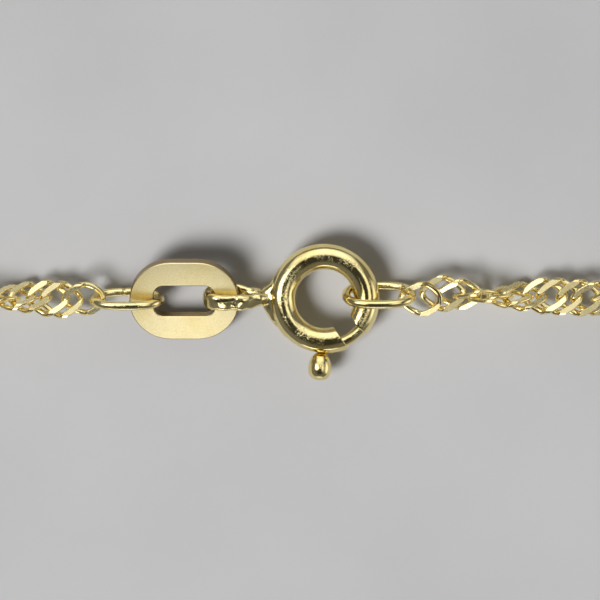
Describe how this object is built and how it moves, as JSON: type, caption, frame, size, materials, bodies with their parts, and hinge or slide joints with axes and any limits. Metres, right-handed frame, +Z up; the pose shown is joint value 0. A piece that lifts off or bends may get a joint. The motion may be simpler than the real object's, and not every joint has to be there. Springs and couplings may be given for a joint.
{
  "type": "singapore chain necklace",
  "caption": "Fine twisted singapore chain necklace, closed by a spring ring clasp that hooks a jump ring, with a small slotted tag plate beside the clasp.",
  "frame": {"origin": "centre of the bounding box's underside, on the surface that the necklace lies on", "axes": "+X along the front stretch that holds the clasp, with the clasp's gap towards +X, +Y from the clasp to the back of the loop, +Z up from the surface"},
  "size_m": [0.1526, 0.1356, 0.0024],
  "materials": {
    "chain_gold": "diamond-cut yellow gold, bright flat facets",
    "ring_gold": "polished yellow gold wire, light handling marks",
    "tag_gold": "satin yellow gold faces, polished edges",
    "clasp_gold": "polished yellow gold tube with fine scratches"
  },
  "bodies": {
    "necklace": {"chain": "chain_gold", "left_end_link": "chain_gold", "right_end_link": "chain_gold", "left_jump_ring": "ring_gold", "right_jump_ring": "ring_gold", "tag_plate": "tag_gold", "spring_ring": "clasp_gold"},
    "bolt": {"bolt_trigger": "clasp_gold"}
  },
  "joints": [
    {"name": "bolt_slide", "type": "hinge", "parent": "necklace", "child": "bolt", "pos_m": [0.00123, -0.06367, 0.00118], "axis": [0, 0, -1], "range_deg": [0, 38], "stiffness_Nm_per_rad": 0.002, "springref_deg": -20.05}
  ]
}
